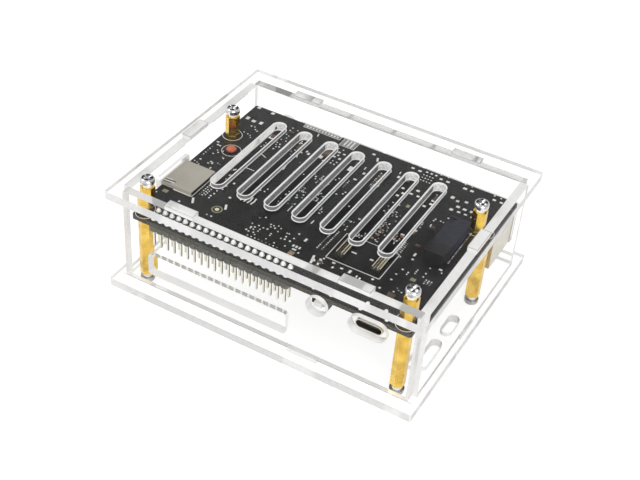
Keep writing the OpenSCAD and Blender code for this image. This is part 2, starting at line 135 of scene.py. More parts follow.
def makeFloor(look):
    size = look["floorSize"] / 2
    mesh = bpy.data.meshes.new("floor")
    mesh.from_pydata([(-size, -size, 0), (size, -size, 0), (size, size, 0), (-size, size, 0)], [], [(0, 1, 2, 3)])
    floor = bpy.data.objects.new("floor", mesh)
    scene.collection.objects.link(floor)
    mat, tree, links = newTree("floorPaper")
    diffuse = add(tree, "BsdfDiffuse")
    diffuse.inputs["Color"].default_value = (*[look["floorColour"]] * 3, 1)
    glow = add(tree, "Emission")
    scale = add(tree, "Math", operation="MULTIPLY")
    scale.inputs[1].default_value = look["floorGlow"]
    links.new(seenDirectly(tree, links), scale.inputs[0])
    links.new(scale.outputs[0], glow.inputs["Strength"])
    both = add(tree, "AddShader")
    links.new(diffuse.outputs[0], both.inputs[0])
    links.new(glow.outputs[0], both.inputs[1])
    out = add(tree, "OutputMaterial")
    links.new(both.outputs[0], out.inputs["Surface"])
    mesh.materials.append(mat)


def makeSky(look):
    # shaded from low to high, with a dark card where the board and the lid would mirror the sky
    world = bpy.data.worlds.new("studio")
    scene.world = world
    world.use_nodes = True
    tree, links = world.node_tree.nodes, world.node_tree.links
    tree.clear()
    place = add(tree, "TexCoord")
    split = add(tree, "SeparateXYZ")
    links.new(place.outputs["Generated"], split.inputs[0])
    ramp = add(tree, "ValToRGB")
    ramp.color_ramp.elements[0].position = 0.0
    ramp.color_ramp.elements[0].color = (*[look["skyLow"]] * 3, 1)
    ramp.color_ramp.elements[1].position = 0.75
    ramp.color_ramp.elements[1].color = (*[look["skyHigh"]] * 3, 1)
    links.new(split.outputs["Z"], ramp.inputs["Fac"])
    near = add(tree, "VectorMath", operation="DOT_PRODUCT")
    near.inputs[1].default_value = look["cardTowards"]
    links.new(place.outputs["Generated"], near.inputs[0])
    card = add(tree, "MapRange", interpolation_type="SMOOTHSTEP")
    card.inputs["From Min"].default_value = look["cardFade"][0]
    card.inputs["From Max"].default_value = look["cardFade"][1]
    card.inputs["To Min"].default_value = 1.0
    card.inputs["To Max"].default_value = look["cardDark"]
    links.new(near.outputs["Value"], card.inputs["Value"])
    side = add(tree, "MapRange", interpolation_type="SMOOTHSTEP")
    side.inputs["From Min"].default_value = look["sideFade"][0]
    side.inputs["From Max"].default_value = look["sideFade"][1]
    side.inputs["To Min"].default_value = 1.0
    side.inputs["To Max"].default_value = look["sideDark"]
    links.new(split.outputs["X"], side.inputs["Value"])
    dim = add(tree, "Math", operation="MULTIPLY")
    links.new(card.outputs["Result"], dim.inputs[0])
    links.new(side.outputs["Result"], dim.inputs[1])
    shade = add(tree, "VectorMath", operation="SCALE")
    links.new(ramp.outputs["Color"], shade.inputs[0])
    links.new(dim.outputs[0], shade.inputs["Scale"])
    path = add(tree, "LightPath")
    clear = add(tree, "Math", operation="MAXIMUM")
    links.new(path.outputs["Is Camera Ray"], clear.inputs[0])
    links.new(path.outputs["Is Transmission Ray"], clear.inputs[1])
    pick = add(tree, "Mix", data_type="RGBA")
    pick.inputs[7].default_value = (1, 1, 1, 1)
    links.new(clear.outputs[0], pick.inputs[0])
    links.new(shade.outputs[0], pick.inputs[6])
    back = add(tree, "Background")
    links.new(pick.outputs[2], back.inputs["Color"])
    out = add(tree, "OutputWorld")
    links.new(back.outputs[0], out.inputs["Surface"])


def makeLamp(name, place, size, power):
    data = bpy.data.lights.new(name, "AREA")
    data.shape = "DISK"
    data.size = size
    data.energy = power
    lamp = bpy.data.objects.new(name, data)
    scene.collection.objects.link(lamp)
    lamp.location = place
    lamp.rotation_mode = "QUATERNION"
    lamp.rotation_quaternion = (-Vector(place)).to_track_quat("-Z", "Y")


print("studio")
makeFloor(studioLook)
makeSky(studioLook)
makeLamp("keyLamp", studioLook["keyPlace"], studioLook["keySize"], studioLook["keyPower"])
makeLamp("fillLamp", studioLook["fillPlace"], studioLook["fillSize"], studioLook["fillPower"])


def principled(tree, colour, rough, metal=0.0, ior=1.45):
    shader = add(tree, "BsdfPrincipled")
    shader.inputs["Base Color"].default_value = (*colour, 1)
    shader.inputs["Roughness"].default_value = rough
    shader.inputs["Metallic"].default_value = metal
    shader.inputs["IOR"].default_value = ior
    return shader


def noiseRamp(tree, links, scale, low, high, detail=3.0):
    # a value between low and high that wanders over the surface
    place = add(tree, "TexCoord")
    noise = add(tree, "TexNoise")
    noise.inputs["Scale"].default_value = scale
    noise.inputs["Detail"].default_value = detail
    links.new(place.outputs["Object"], noise.inputs["Vector"])
    spread = add(tree, "MapRange")
    spread.inputs["From Min"].default_value = 0.3
    spread.inputs["From Max"].default_value = 0.7
    spread.inputs["To Min"].default_value = low
    spread.inputs["To Max"].default_value = high
    links.new(noise.outputs["Fac"], spread.inputs["Value"])
    return spread.outputs["Result"]


def tintNoise(tree, links, scale, dark, light):
    fac = noiseRamp(tree, links, scale, 0.0, 1.0)
    mix = add(tree, "Mix", data_type="RGBA")
    mix.inputs[6].default_value = (*dark, 1)
    mix.inputs[7].default_value = (*light, 1)
    links.new(fac, mix.inputs[0])
    return mix.outputs[2]


def bumpNoise(tree, links, shader, scale, strength, depth):
    place = add(tree, "TexCoord")
    noise = add(tree, "TexNoise")
    noise.inputs["Scale"].default_value = scale
    noise.inputs["Detail"].default_value = 2.0
    links.new(place.outputs["Object"], noise.inputs["Vector"])
    bump = add(tree, "Bump")
    bump.inputs["Strength"].default_value = strength
    bump.inputs["Distance"].default_value = depth
    links.new(noise.outputs["Fac"], bump.inputs["Height"])
    links.new(bump.outputs["Normal"], shader.inputs["Normal"])


def finishMaterial(tree, links, shader):
    out = add(tree, "OutputMaterial")
    links.new(shader.outputs[0], out.inputs["Surface"])


def plainMaterial(name, dark, light, rough, metal=0.0, scale=300.0, bump=0.15, bumpScale=900.0, ior=1.45):
    mat, tree, links = newTree(name)
    shader = principled(tree, light, rough[0], metal, ior)
    links.new(tintNoise(tree, links, scale, dark, light), shader.inputs["Base Color"])
    links.new(noiseRamp(tree, links, scale * 1.7, rough[0], rough[1]), shader.inputs["Roughness"])
    if bump > 0:
        bumpNoise(tree, links, shader, bumpScale, bump, 0.00002)
    finishMaterial(tree, links, shader)
    return mat


def domeMaterial(name, dark, light):
    # painted shade: dark where the surface faces sideways round the foot, bright on the crown that faces up, with
    # random blotches
    mat, tree, links = newTree(name)
    shader = principled(tree, light, 0.28)
    place = add(tree, "TexCoord")
    split = add(tree, "SeparateXYZ")
    links.new(place.outputs["Normal"], split.inputs[0])
    # painted shade: 0 where the normal lies level, 1 where it points up
    paintedShadeByFacing = add(tree, "MapRange")
    paintedShadeByFacing.inputs["From Min"].default_value = 0.25
    paintedShadeByFacing.inputs["From Max"].default_value = 0.95
    links.new(split.outputs["Z"], paintedShadeByFacing.inputs["Value"])
    facingShadeAndBlotch = add(tree, "Math", operation="MULTIPLY", use_clamp=True)
    links.new(paintedShadeByFacing.outputs["Result"], facingShadeAndBlotch.inputs[0])
    links.new(noiseRamp(tree, links, 500.0, 0.75, 1.1), facingShadeAndBlotch.inputs[1])
    mix = add(tree, "Mix", data_type="RGBA")
    mix.inputs[6].default_value = (*dark, 1)
    mix.inputs[7].default_value = (*light, 1)
    links.new(facingShadeAndBlotch.outputs[0], mix.inputs[0])
    links.new(mix.outputs[2], shader.inputs["Base Color"])
    finishMaterial(tree, links, shader)
    return mat


def boardMaterial(name, dark, light, cutEdge, paintedShadeEnd):
    # near-black lacquer on the faces, bare olive-grey laminate on the long cut edges, and painted shade on the ends,
    # which face along x and get a darker colour
    mat, tree, links = newTree(name)
    shader = principled(tree, light, 0.4, ior=1.30)
    place = add(tree, "TexCoord")
    split = add(tree, "SeparateXYZ")
    links.new(place.outputs["Normal"], split.inputs[0])
    size = add(tree, "Math", operation="ABSOLUTE")
    links.new(split.outputs["Z"], size.inputs[0])
    cut = add(tree, "Math", operation="LESS_THAN")
    cut.inputs[1].default_value = 0.7
    links.new(size.outputs[0], cut.inputs[0])
    # painted shade: the ends, whose normal points along x, take the darker colour
    across = add(tree, "Math", operation="ABSOLUTE")
    links.new(split.outputs["X"], across.inputs[0])
    end = add(tree, "Math", operation="GREATER_THAN")
    end.inputs[1].default_value = 0.7
    links.new(across.outputs[0], end.inputs[0])
    laminate = add(tree, "Mix", data_type="RGBA")
    links.new(tintNoise(tree, links, 900.0, tuple(0.6 * c for c in cutEdge), cutEdge), laminate.inputs[6])
    laminate.inputs[7].default_value = (*paintedShadeEnd, 1)
    links.new(end.outputs[0], laminate.inputs[0])
    mix = add(tree, "Mix", data_type="RGBA")
    links.new(tintNoise(tree, links, 300.0, dark, light), mix.inputs[6])
    links.new(laminate.outputs[2], mix.inputs[7])
    links.new(cut.outputs[0], mix.inputs[0])
    links.new(mix.outputs[2], shader.inputs["Base Color"])
    links.new(noiseRamp(tree, links, 500.0, 0.36, 0.46), shader.inputs["Roughness"])
    bumpNoise(tree, links, shader, 900.0, 0.1, 0.00002)
    finishMaterial(tree, links, shader)
    return mat


def socketMaterial(name, dark, light, fade):
    # black towards the front end, violet-grey from there back; fade is in mm along y
    mat, tree, links = newTree(name)
    shader = principled(tree, light, 0.52, ior=1.35)
    place = add(tree, "TexCoord")
    split = add(tree, "SeparateXYZ")
    links.new(place.outputs["Object"], split.inputs[0])
    along = add(tree, "MapRange", interpolation_type="SMOOTHSTEP")
    along.inputs["From Min"].default_value = fade[0] * mm
    along.inputs["From Max"].default_value = fade[1] * mm
    links.new(split.outputs["Y"], along.inputs["Value"])
    mix = add(tree, "Mix", data_type="RGBA")
    mix.inputs[6].default_value = (*dark, 1)
    links.new(tintNoise(tree, links, 350.0, tuple(0.6 * c for c in light), light), mix.inputs[7])
    links.new(along.outputs["Result"], mix.inputs[0])
    links.new(mix.outputs[2], shader.inputs["Base Color"])
    links.new(noiseRamp(tree, links, 500.0, 0.46, 0.58), shader.inputs["Roughness"])
    finishMaterial(tree, links, shader)
    return mat


def pinMaterial(name, side, face):
    # plated front faces, and painted shade: a darker colour on the faces that look along x, the pins' sides
    mat, tree, links = newTree(name)
    shader = principled(tree, face, 0.3, 0.55)
    place = add(tree, "TexCoord")
    split = add(tree, "SeparateXYZ")
    links.new(place.outputs["Normal"], split.inputs[0])
    # painted shade: faces whose normal points along x get the darker side colour
    size = add(tree, "Math", operation="ABSOLUTE")
    links.new(split.outputs["X"], size.inputs[0])
    cut = add(tree, "MapRange")
    cut.inputs["From Min"].default_value = 0.3
    cut.inputs["From Max"].default_value = 0.9
    links.new(size.outputs[0], cut.inputs["Value"])
    mix = add(tree, "Mix", data_type="RGBA")
    links.new(tintNoise(tree, links, 400.0, tuple(0.9 * c for c in face), face), mix.inputs[6])
    mix.inputs[7].default_value = (*side, 1)
    links.new(cut.outputs["Result"], mix.inputs[0])
    links.new(mix.outputs[2], shader.inputs["Base Color"])
    finishMaterial(tree, links, shader)
    return mat


# Acrylic sheet: clear faces, and laser-cut edges that are cloudy, more so in some places, with painted shade on some of
# them
acrylicLook = {
    "colour": (0.998, 0.998, 0.996),
    "ior": 1.49,
    "mirror": 0.22,
    "sideMirror": 0.07,
    "edgeRough": 0.04,
    "edgeWhite": 0.84,
    "haze": 0.85,
    "edgeColour": (0.99, 0.988, 0.98),
    "shade": (0.98, 0.98, 0.978),
    "streaks": (0.97, 1.01),
}
# Boxes in mm inside which cut edges have their own whiteness, and a painted shade from dark to light: the vents,
# their far ends, the leftmost vent's wall, and the bottom plate's two slots
flatPlaces = (
    ((-40, -25), (40, 25), 0.85, (0.11, 0.32)),
    ((-40, 17.4), (40, 25), 0.92, (0.55, 1.0)),
    ((-40, -25), (-31, 25), 0.18, (0.55, 1.0)),
    ((42, -27), (49, 5), 0.85, (0.98, 1.0)),
)
# The same for the long walls: the header window's upper edge and sill, and both walls' upper edges
longPlaces = (
    ((-55, -42, 34), (55, -35, 50), 0.55, (0.98, 1.0)),
    ((-42, -41, 12), (9, -36, 20), 0.50, (0.98, 1.0)),
    ((-42, -41, 3), (9, -36, 12), 0.80, (0.99, 1.0)),
    ((-55, 35, 34), (55, 42, 50), 0.35, (0.98, 1.0)),
)


def insideBox(tree, links, split, low, high):
    # 1 where the surface lies in the box, on as many axes as the box gives
    total = None
    for axis in range(len(low)):
        middle = (low[axis] + high[axis]) / 2 * mm
        half = (high[axis] - low[axis]) / 2 * mm
        same = add(tree, "Math", operation="COMPARE")
        same.inputs[1].default_value = middle
        same.inputs[2].default_value = half
        links.new(split.outputs[axis], same.inputs[0])
        if total is None:
            total = same.outputs[0]
            continue
        both = add(tree, "Math", operation="MULTIPLY")
        links.new(total, both.inputs[0])
        links.new(same.outputs[0], both.inputs[1])
        total = both.outputs[0]
    return total


def acrylic(name, faceAxis, look, places=()):
    mat, tree, links = newTree(name)
    bend = add(tree, "BsdfRefraction")
    bend.inputs["Color"].default_value = (*look["colour"], 1)
    bend.inputs["IOR"].default_value = look["ior"]
    shine = add(tree, "BsdfAnisotropic")
    shine.inputs["Color"].default_value = (1, 1, 1, 1)
    fresnel = add(tree, "Fresnel")
    fresnel.inputs["IOR"].default_value = look["ior"]
    share = add(tree, "ValToRGB")
    share.color_ramp.elements[0].color = (0, 0, 0, 1)
    share.color_ramp.elements[1].color = (1, 1, 1, 1)
    middle = share.color_ramp.elements.new(0.8)
    middle.color = (*[0.8 * look["mirror"]] * 3, 1)
    links.new(fresnel.outputs[0], share.inputs["Fac"])
    clear = add(tree, "MixShader")
    links.new(share.outputs["Color"], clear.inputs["Fac"])
    links.new(bend.outputs[0], clear.inputs[1])
    links.new(shine.outputs[0], clear.inputs[2])

    place = add(tree, "TexCoord")
    turn = add(tree, "SeparateXYZ")
    links.new(place.outputs["Normal"], turn.inputs[0])
    size = add(tree, "Math", operation="ABSOLUTE")
    links.new(turn.outputs[faceAxis], size.inputs[0])
    edge = add(tree, "Math", operation="LESS_THAN")
    edge.inputs[1].default_value = 0.7
    links.new(size.outputs[0], edge.inputs[0])
    rough = add(tree, "Math", operation="MULTIPLY")
    rough.inputs[1].default_value = look["edgeRough"]
    links.new(edge.outputs[0], rough.inputs[0])
    links.new(rough.outputs[0], bend.inputs["Roughness"])
    links.new(rough.outputs[0], shine.inputs["Roughness"])

    cloud = add(tree, "BsdfTranslucent")
    haze = add(tree, "BsdfDiffuse")
    milk = add(tree, "MixShader")
    milk.inputs["Fac"].default_value = look["haze"]
    links.new(cloud.outputs[0], milk.inputs[1])
    links.new(haze.outputs[0], milk.inputs[2])

    spot = add(tree, "SeparateXYZ")
    links.new(place.outputs["Object"], spot.inputs[0])
    white = add(tree, "Math", operation="MULTIPLY")
    white.inputs[1].default_value = look["edgeWhite"]
    links.new(noiseRamp(tree, links, 700.0, *look["streaks"]), white.inputs[0])
    amount = white.outputs[0]
    streaksAndPaintedShade = noiseRamp(tree, links, 700.0, *look["streaks"])
    for low, high, value, paintedShadeTones in places:
        here = insideBox(tree, links, spot, low, high)
        pick = add(tree, "Mix", data_type="FLOAT")
        links.new(here, pick.inputs[0])
        links.new(amount, pick.inputs[2])
        pick.inputs[3].default_value = value
        amount = pick.outputs[0]
        grey = add(tree, "Mix", data_type="FLOAT")
        links.new(here, grey.inputs[0])
        links.new(streaksAndPaintedShade, grey.inputs[2])
        links.new(noiseRamp(tree, links, 1600.0, *paintedShadeTones), grey.inputs[3])
        streaksAndPaintedShade = grey.outputs[0]
    # painted shade: the edge colour scaled by the tone, darkest on the vents' walls
    tint = add(tree, "VectorMath", operation="SCALE")
    tint.inputs[0].default_value = look["edgeColour"]
    links.new(streaksAndPaintedShade, tint.inputs["Scale"])
    links.new(tint.outputs[0], cloud.inputs["Color"])
    links.new(tint.outputs[0], haze.inputs["Color"])
    onEdge = add(tree, "Math", operation="MULTIPLY", use_clamp=True)
    links.new(amount, onEdge.inputs[0])
    links.new(edge.outputs[0], onEdge.inputs[1])
    sheet = add(tree, "MixShader")
    links.new(onEdge.outputs[0], sheet.inputs["Fac"])
    links.new(clear.outputs[0], sheet.inputs[1])
    links.new(milk.outputs[0], sheet.inputs[2])

    path = add(tree, "LightPath")
    through = add(tree, "Math", operation="MAXIMUM")
    links.new(path.outputs["Is Shadow Ray"], through.inputs[0])
    links.new(path.outputs["Is Diffuse Ray"], through.inputs[1])
    passing = add(tree, "BsdfTransparent")
    passing.inputs["Color"].default_value = (*look["shade"], 1)
    mix = add(tree, "MixShader")
    links.new(through.outputs[0], mix.inputs["Fac"])
    links.new(sheet.outputs[0], mix.inputs[1])
    links.new(passing.outputs[0], mix.inputs[2])
    finishMaterial(tree, links, mix)
    return mat


def dress(names, mat):
    for name in names:
        slots = nodes[name].material_slots
        if not slots:
            nodes[name].data.materials.append(mat)
        for s in slots:
            s.material = mat


corners = ("front_left", "front_right", "back_left", "back_right")

print("finishes")
flatSheet = acrylic("acrylicFlat", "Z", acrylicLook, flatPlaces)
longSheet = acrylic("acrylicLong", "Y", acrylicLook, longPlaces)
sideSheet = acrylic("acrylicSide", "X", dict(acrylicLook, mirror=acrylicLook["sideMirror"]))
dress(("top_plate", "bottom_plate"), flatSheet)
dress(("front_wall", "back_wall"), longSheet)
dress(("left_wall", "right_wall"), sideSheet)

brass = plainMaterial("brass", (0.62, 0.37, 0.04), (0.84, 0.58, 0.12), (0.20, 0.28), 1.0, 260.0, bump=0.05)
nickel = plainMaterial("nickel", (0.66, 0.66, 0.67), (0.86, 0.86, 0.87), (0.10, 0.20), 1.0)
# the board's x-facing ends get a painted shade colour
mask = boardMaterial("solderMask", (0.007, 0.0065, 0.007), (0.013, 0.012, 0.0125), (0.085, 0.080, 0.062),
                     (0.022, 0.017, 0.015))
charcoal = plainMaterial("charcoal", (0.080, 0.080, 0.072), (0.125, 0.125, 0.112), (0.45, 0.6), 0.0)
paleGold = plainMaterial("paleGold", (0.78, 0.69, 0.50), (0.90, 0.84, 0.68), (0.2, 0.3), 1.0)
# header pins: plated colour, with painted shade on their x-facing sides
pinPlateWithPaintedShade = pinMaterial("pinPlateWithPaintedShade", (0.13, 0.12, 0.095), (0.93, 0.89, 0.76))
contactGold = plainMaterial("contactGold", (0.74, 0.64, 0.42), (0.92, 0.84, 0.64), (0.3, 0.4), 0.3)
sheetMetal = plainMaterial("sheetMetal", (0.56, 0.53, 0.46), (0.68, 0.65, 0.57), (0.28, 0.42), 1.0)
cardMetal = plainMaterial("cardMetal", (0.41, 0.385, 0.33), (0.48, 0.455, 0.39), (0.45, 0.55), 0.2, 120.0, bump=0.05)
blackPlastic = plainMaterial("blackPlastic", (0.010, 0.010, 0.010), (0.020, 0.020, 0.020), (0.4, 0.5), 0.0)
whitePlastic = plainMaterial("whitePlastic", (0.72, 0.72, 0.70), (0.82, 0.82, 0.80), (0.3, 0.4), 0.0)
steel = plainMaterial("steel", (0.22, 0.22, 0.23), (0.50, 0.50, 0.51), (0.25, 0.35), 0.9, 500.0, bump=0.05)
brownCeramic = plainMaterial("brownCeramic", (0.22, 0.13, 0.09), (0.42, 0.28, 0.20), (0.4, 0.5), 0.0)
# grey for the painted shade lines and the painted reflection of the pins
paintedShadeGrey = plainMaterial("paintedShadeGrey", (0.32, 0.32, 0.32), (0.46, 0.46, 0.46), (0.5, 0.6), 0.0, bump=0.0)
bluePlastic = socketMaterial("bluePlastic", (0.008, 0.008, 0.009), (0.032, 0.032, 0.050), (-5.5, 2.0))
# the dome's colour carries painted shade on its sides
orangeDome = domeMaterial("orangeDome", (0.07, 0.022, 0.014), (0.62, 0.13, 0.06))
ceramic = plainMaterial("ceramic", (0.035, 0.028, 0.024), (0.16, 0.11, 0.075), (0.4, 0.5), 0.0)
tin = plainMaterial("tin", (0.74, 0.74, 0.72), (0.94, 0.94, 0.92), (0.30, 0.45), 0.15)
ink = plainMaterial("printInk", (0.72, 0.72, 0.70), (0.88, 0.88, 0.86), (0.5, 0.6), 0.0, bump=0.0)
greyInk = plainMaterial("greyInk", (0.20, 0.20, 0.20), (0.34, 0.34, 0.33), (0.5, 0.6), 0.0, bump=0.0)
olive = plainMaterial("olivePad", (0.22, 0.21, 0.13), (0.34, 0.33, 0.22), (0.4, 0.5), 0.2)
# white for the painted highlight round the vents
paintedHighlightWhite = plainMaterial("paintedHighlightWhite", (0.86, 0.86, 0.87), (0.97, 0.97, 0.98), (0.3, 0.4), 0.0, bump=0.0)

for level in ("lower", "upper"):
    dress([f"{level}_standoff_{c}" for c in corners], brass)
dress(("top_screws",), nickel)
dress(("bottom_screws",), steel)
dress(("circuit_board",), mask)
dress(("header_base",), charcoal)
dress(("header_pins",), pinPlateWithPaintedShade)
dress(("module_contacts",), paleGold)
dress(("power_shell", "network_jack", "serial_socket_right", "serial_socket_left",
       "video_socket_right", "video_socket_left"), sheetMetal)
dress(("card_shell",), cardMetal)
dress(("power_tongue", "button_body", "card_body", "module_socket_left", "module_socket_right",
       "audio_jack", "processor", "memory_chip_left", "memory_chip_right", "power_chip", "coils"), blackPlastic)
dress(("button_plunger",), whitePlastic)
dress(("edge_socket",), bluePlastic)
dress(("round_capacitor",), orangeDome)
dress(("top_parts", "under_parts"), ceramic)


# Flat work on the board: thin closed blocks, sizes in mm
def newForm():
    return {"points": [], "faces": []}


def slab(form, outline, low, high):
    first, count = len(form["points"]), len(outline)
    form["points"] += [(x, y, low) for x, y in outline]
    form["points"] += [(x, y, high) for x, y in outline]
    form["faces"].append([first + i for i in reversed(range(count))])
    form["faces"].append([first + count + i for i in range(count)])
    for i in range(count):
        j = (i + 1) % count
        form["faces"].append([first + i, first + j, first + count + j, first + count + i])


def oblong(x, y, wide, deep, angle=0.0):
    c, s = math.cos(math.radians(angle)), math.sin(math.radians(angle))
    corner = ((-wide / 2, -deep / 2), (wide / 2, -deep / 2), (wide / 2, deep / 2), (-wide / 2, deep / 2))
    return [(x + u * c - v * s, y + u * s + v * c) for u, v in corner]


def disc(x, y, radius, count=8):
    turn = 2 * math.pi / count
    return [(x + radius * math.cos((i + 0.5) * turn), y + radius * math.sin((i + 0.5) * turn)) for i in range(count)]


def stroke(start, end, wide):
    dx, dy = end[0] - start[0], end[1] - start[1]
    size = math.hypot(dx, dy)
    angle = math.degrees(math.atan2(dy, dx))
    return oblong((start[0] + end[0]) / 2, (start[1] + end[1]) / 2, size, wide, angle)


def hoop(form, outer, inner, low, high):
    # closed band between two outlines of equal count
    first, count = len(form["points"]), len(outer)
    for line, z in ((outer, low), (outer, high), (inner, low), (inner, high)):
        form["points"] += [(x, y, z) for x, y in line]
    for i in range(count):
        j = (i + 1) % count
        outLow, outHigh, inLow, inHigh = (first + k * count for k in range(4))
        form["faces"].append([outLow + i, outLow + j, outHigh + j, outHigh + i])
        form["faces"].append([outHigh + i, outHigh + j, inHigh + j, inHigh + i])
        form["faces"].append([inHigh + i, inHigh + j, inLow + j, inLow + i])
        form["faces"].append([inLow + i, inLow + j, outLow + j, outLow + i])


def bead(form, x, y, low, profile, count=12):
    # solder joint: a turned profile of (radius, height), closed at foot and crown
    first = len(form["points"])
    turn = 2 * math.pi / count
    for radius, height in profile:
        form["points"] += [(x + radius * math.cos(i * turn), y + radius * math.sin(i * turn), low + height)
                           for i in range(count)]
    for k in range(len(profile) - 1):
        for i in range(count):
            j = (i + 1) % count
            a, b = first + k * count, first + (k + 1) * count
            form["faces"].append([a + i, a + j, b + j, b + i])
    last = first + (len(profile) - 1) * count
    form["faces"].append([first + i for i in reversed(range(count))])
    form["faces"].append([last + i for i in range(count)])


def makePiece(name, form, mat, smooth=False):
    mesh = bpy.data.meshes.new(name)
    mesh.from_pydata([Vector(p) * mm for p in form["points"]], [], form["faces"])
    mesh.validate()
    if smooth:
        mesh.shade_smooth()
    mesh.materials.append(mat)
    piece = bpy.data.objects.new(name, mesh)
    scene.collection.objects.link(piece)
    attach(piece, "case")
    return piece


def top(node):
    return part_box(node)[1][2] / mm


boardTop = top("circuit_board")
lidTop = top("top_plate")
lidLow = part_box("top_plate")[0][2] / mm


# Print on the board: outlines, ticks and label fields with white borders and ticks on a grey ground; lines as (start,
# end, width)
printLook = {
    "lift": 0.012,
    "thick": 0.02,
    "lines": (
        ((12.0, -9.3), (12.0, -22.9), 0.26), ((12.0, -22.9), (30.4, -22.9), 0.26),
        ((30.4, -22.9), (30.4, -9.3), 0.26), ((12.0, -9.3), (30.4, -9.3), 0.22),
        ((-26.9, -18.4), (-25.8, -20.7), 0.75), ((-37.6, -21.3), (-36.2, -23.8), 0.75),
        ((17.4, -16.3), (19.2, -16.3), 0.55), ((23.8, -16.3), (25.0, -16.3), 0.75),
        ((8.8, -24.2), (9.7, -28.0), 0.75), ((11.3, -24.4), (11.9, -28.2), 0.75),
        ((9.3, -25.6), (10.2, -26.6), 0.8), ((11.6, -25.2), (12.7, -26.4), 0.9),
        ((0.2, -9.6), (0.2, -11.4), 0.35), ((0.3, 25.2), (0.4, 23.7), 0.4),
        ((-9.2, -7.0), (-9.2, -10.2), 0.3), ((-22.5, 11.0), (-21.9, 8.0), 0.5),
        ((-22.4, 18.2), (-21.8, 16.6), 0.5), ((-32.8, 11.6), (-30.2, 10.6), 0.35),
        ((-33.0, 2.0), (-29.4, 2.0), 0.3), ((-33.1, 8.6), (-33.1, 4.2), 0.2),
        ((1.1, 32.2), (1.9, 30.2), 0.7), ((11.2, 29.6), (11.4, 28.2), 0.4),
        ((32.0, 9.9), (32.3, 8.4), 0.5), ((-22.2, 31.5), (-22.6, 33.2), 0.4),
    ),
    "labels": (
        (-22.1, 35.0, 14.6, 2.2, 1.2, 0.6), (-10.85, 33.9, 5.8, 5.0, 1.3, 0.65),
    ),
    "rings": (
        (-46.7, 15.4, 3.5, 3.25), (45.4, 15.4, 3.3, 3.1), (-46.7, -32.9, 3.3, 3.1), (45.4, -32.9, 3.3, 3.1),
        (-41.9, 7.4, 3.4, 3.2),
    ),
    "hooks": (-24.5, -23.2, -21.9, -20.6),
    "border": 0.25,
}


def printOnBoard(look):
    low = boardTop + look["lift"]
    high = low + look["thick"]
    form = newForm()
    for start, end, wide in look["lines"]:
        slab(form, stroke(start, end, wide), low, high)
    back = newForm()
    for x, y, wide, deep, step, tick in look["labels"]:
        border = look["border"]
        hoop(form, oblong(x, y, wide, deep), oblong(x, y, wide - 2 * border, deep - 2 * border), low, high)
        slab(back, oblong(x, y, wide - 3 * border, deep - 3 * border), low, low + look["thick"] / 2)
        count = int((wide - 4 * border) / step)
        for i in range(count):
            middle = x + (i - (count - 1) / 2) * step
            slab(form, oblong(middle, y, tick, deep - 5 * border), low, high)
    makePiece("labelGrounds", back, greyInk)
    for x, y, outer, inner in look["rings"]:
        hoop(form, disc(x, y, outer, 40), disc(x, y, inner, 40), low, high)
    for x in look["hooks"]:
        slab(form, stroke((x - 0.05, -10.4), (x + 0.18, -12.2), 0.5), low, high)
        slab(form, stroke((x + 0.18, -12.1), (x - 0.12, -13.9), 0.5), low, high)
    makePiece("boardPrint", form, ink)


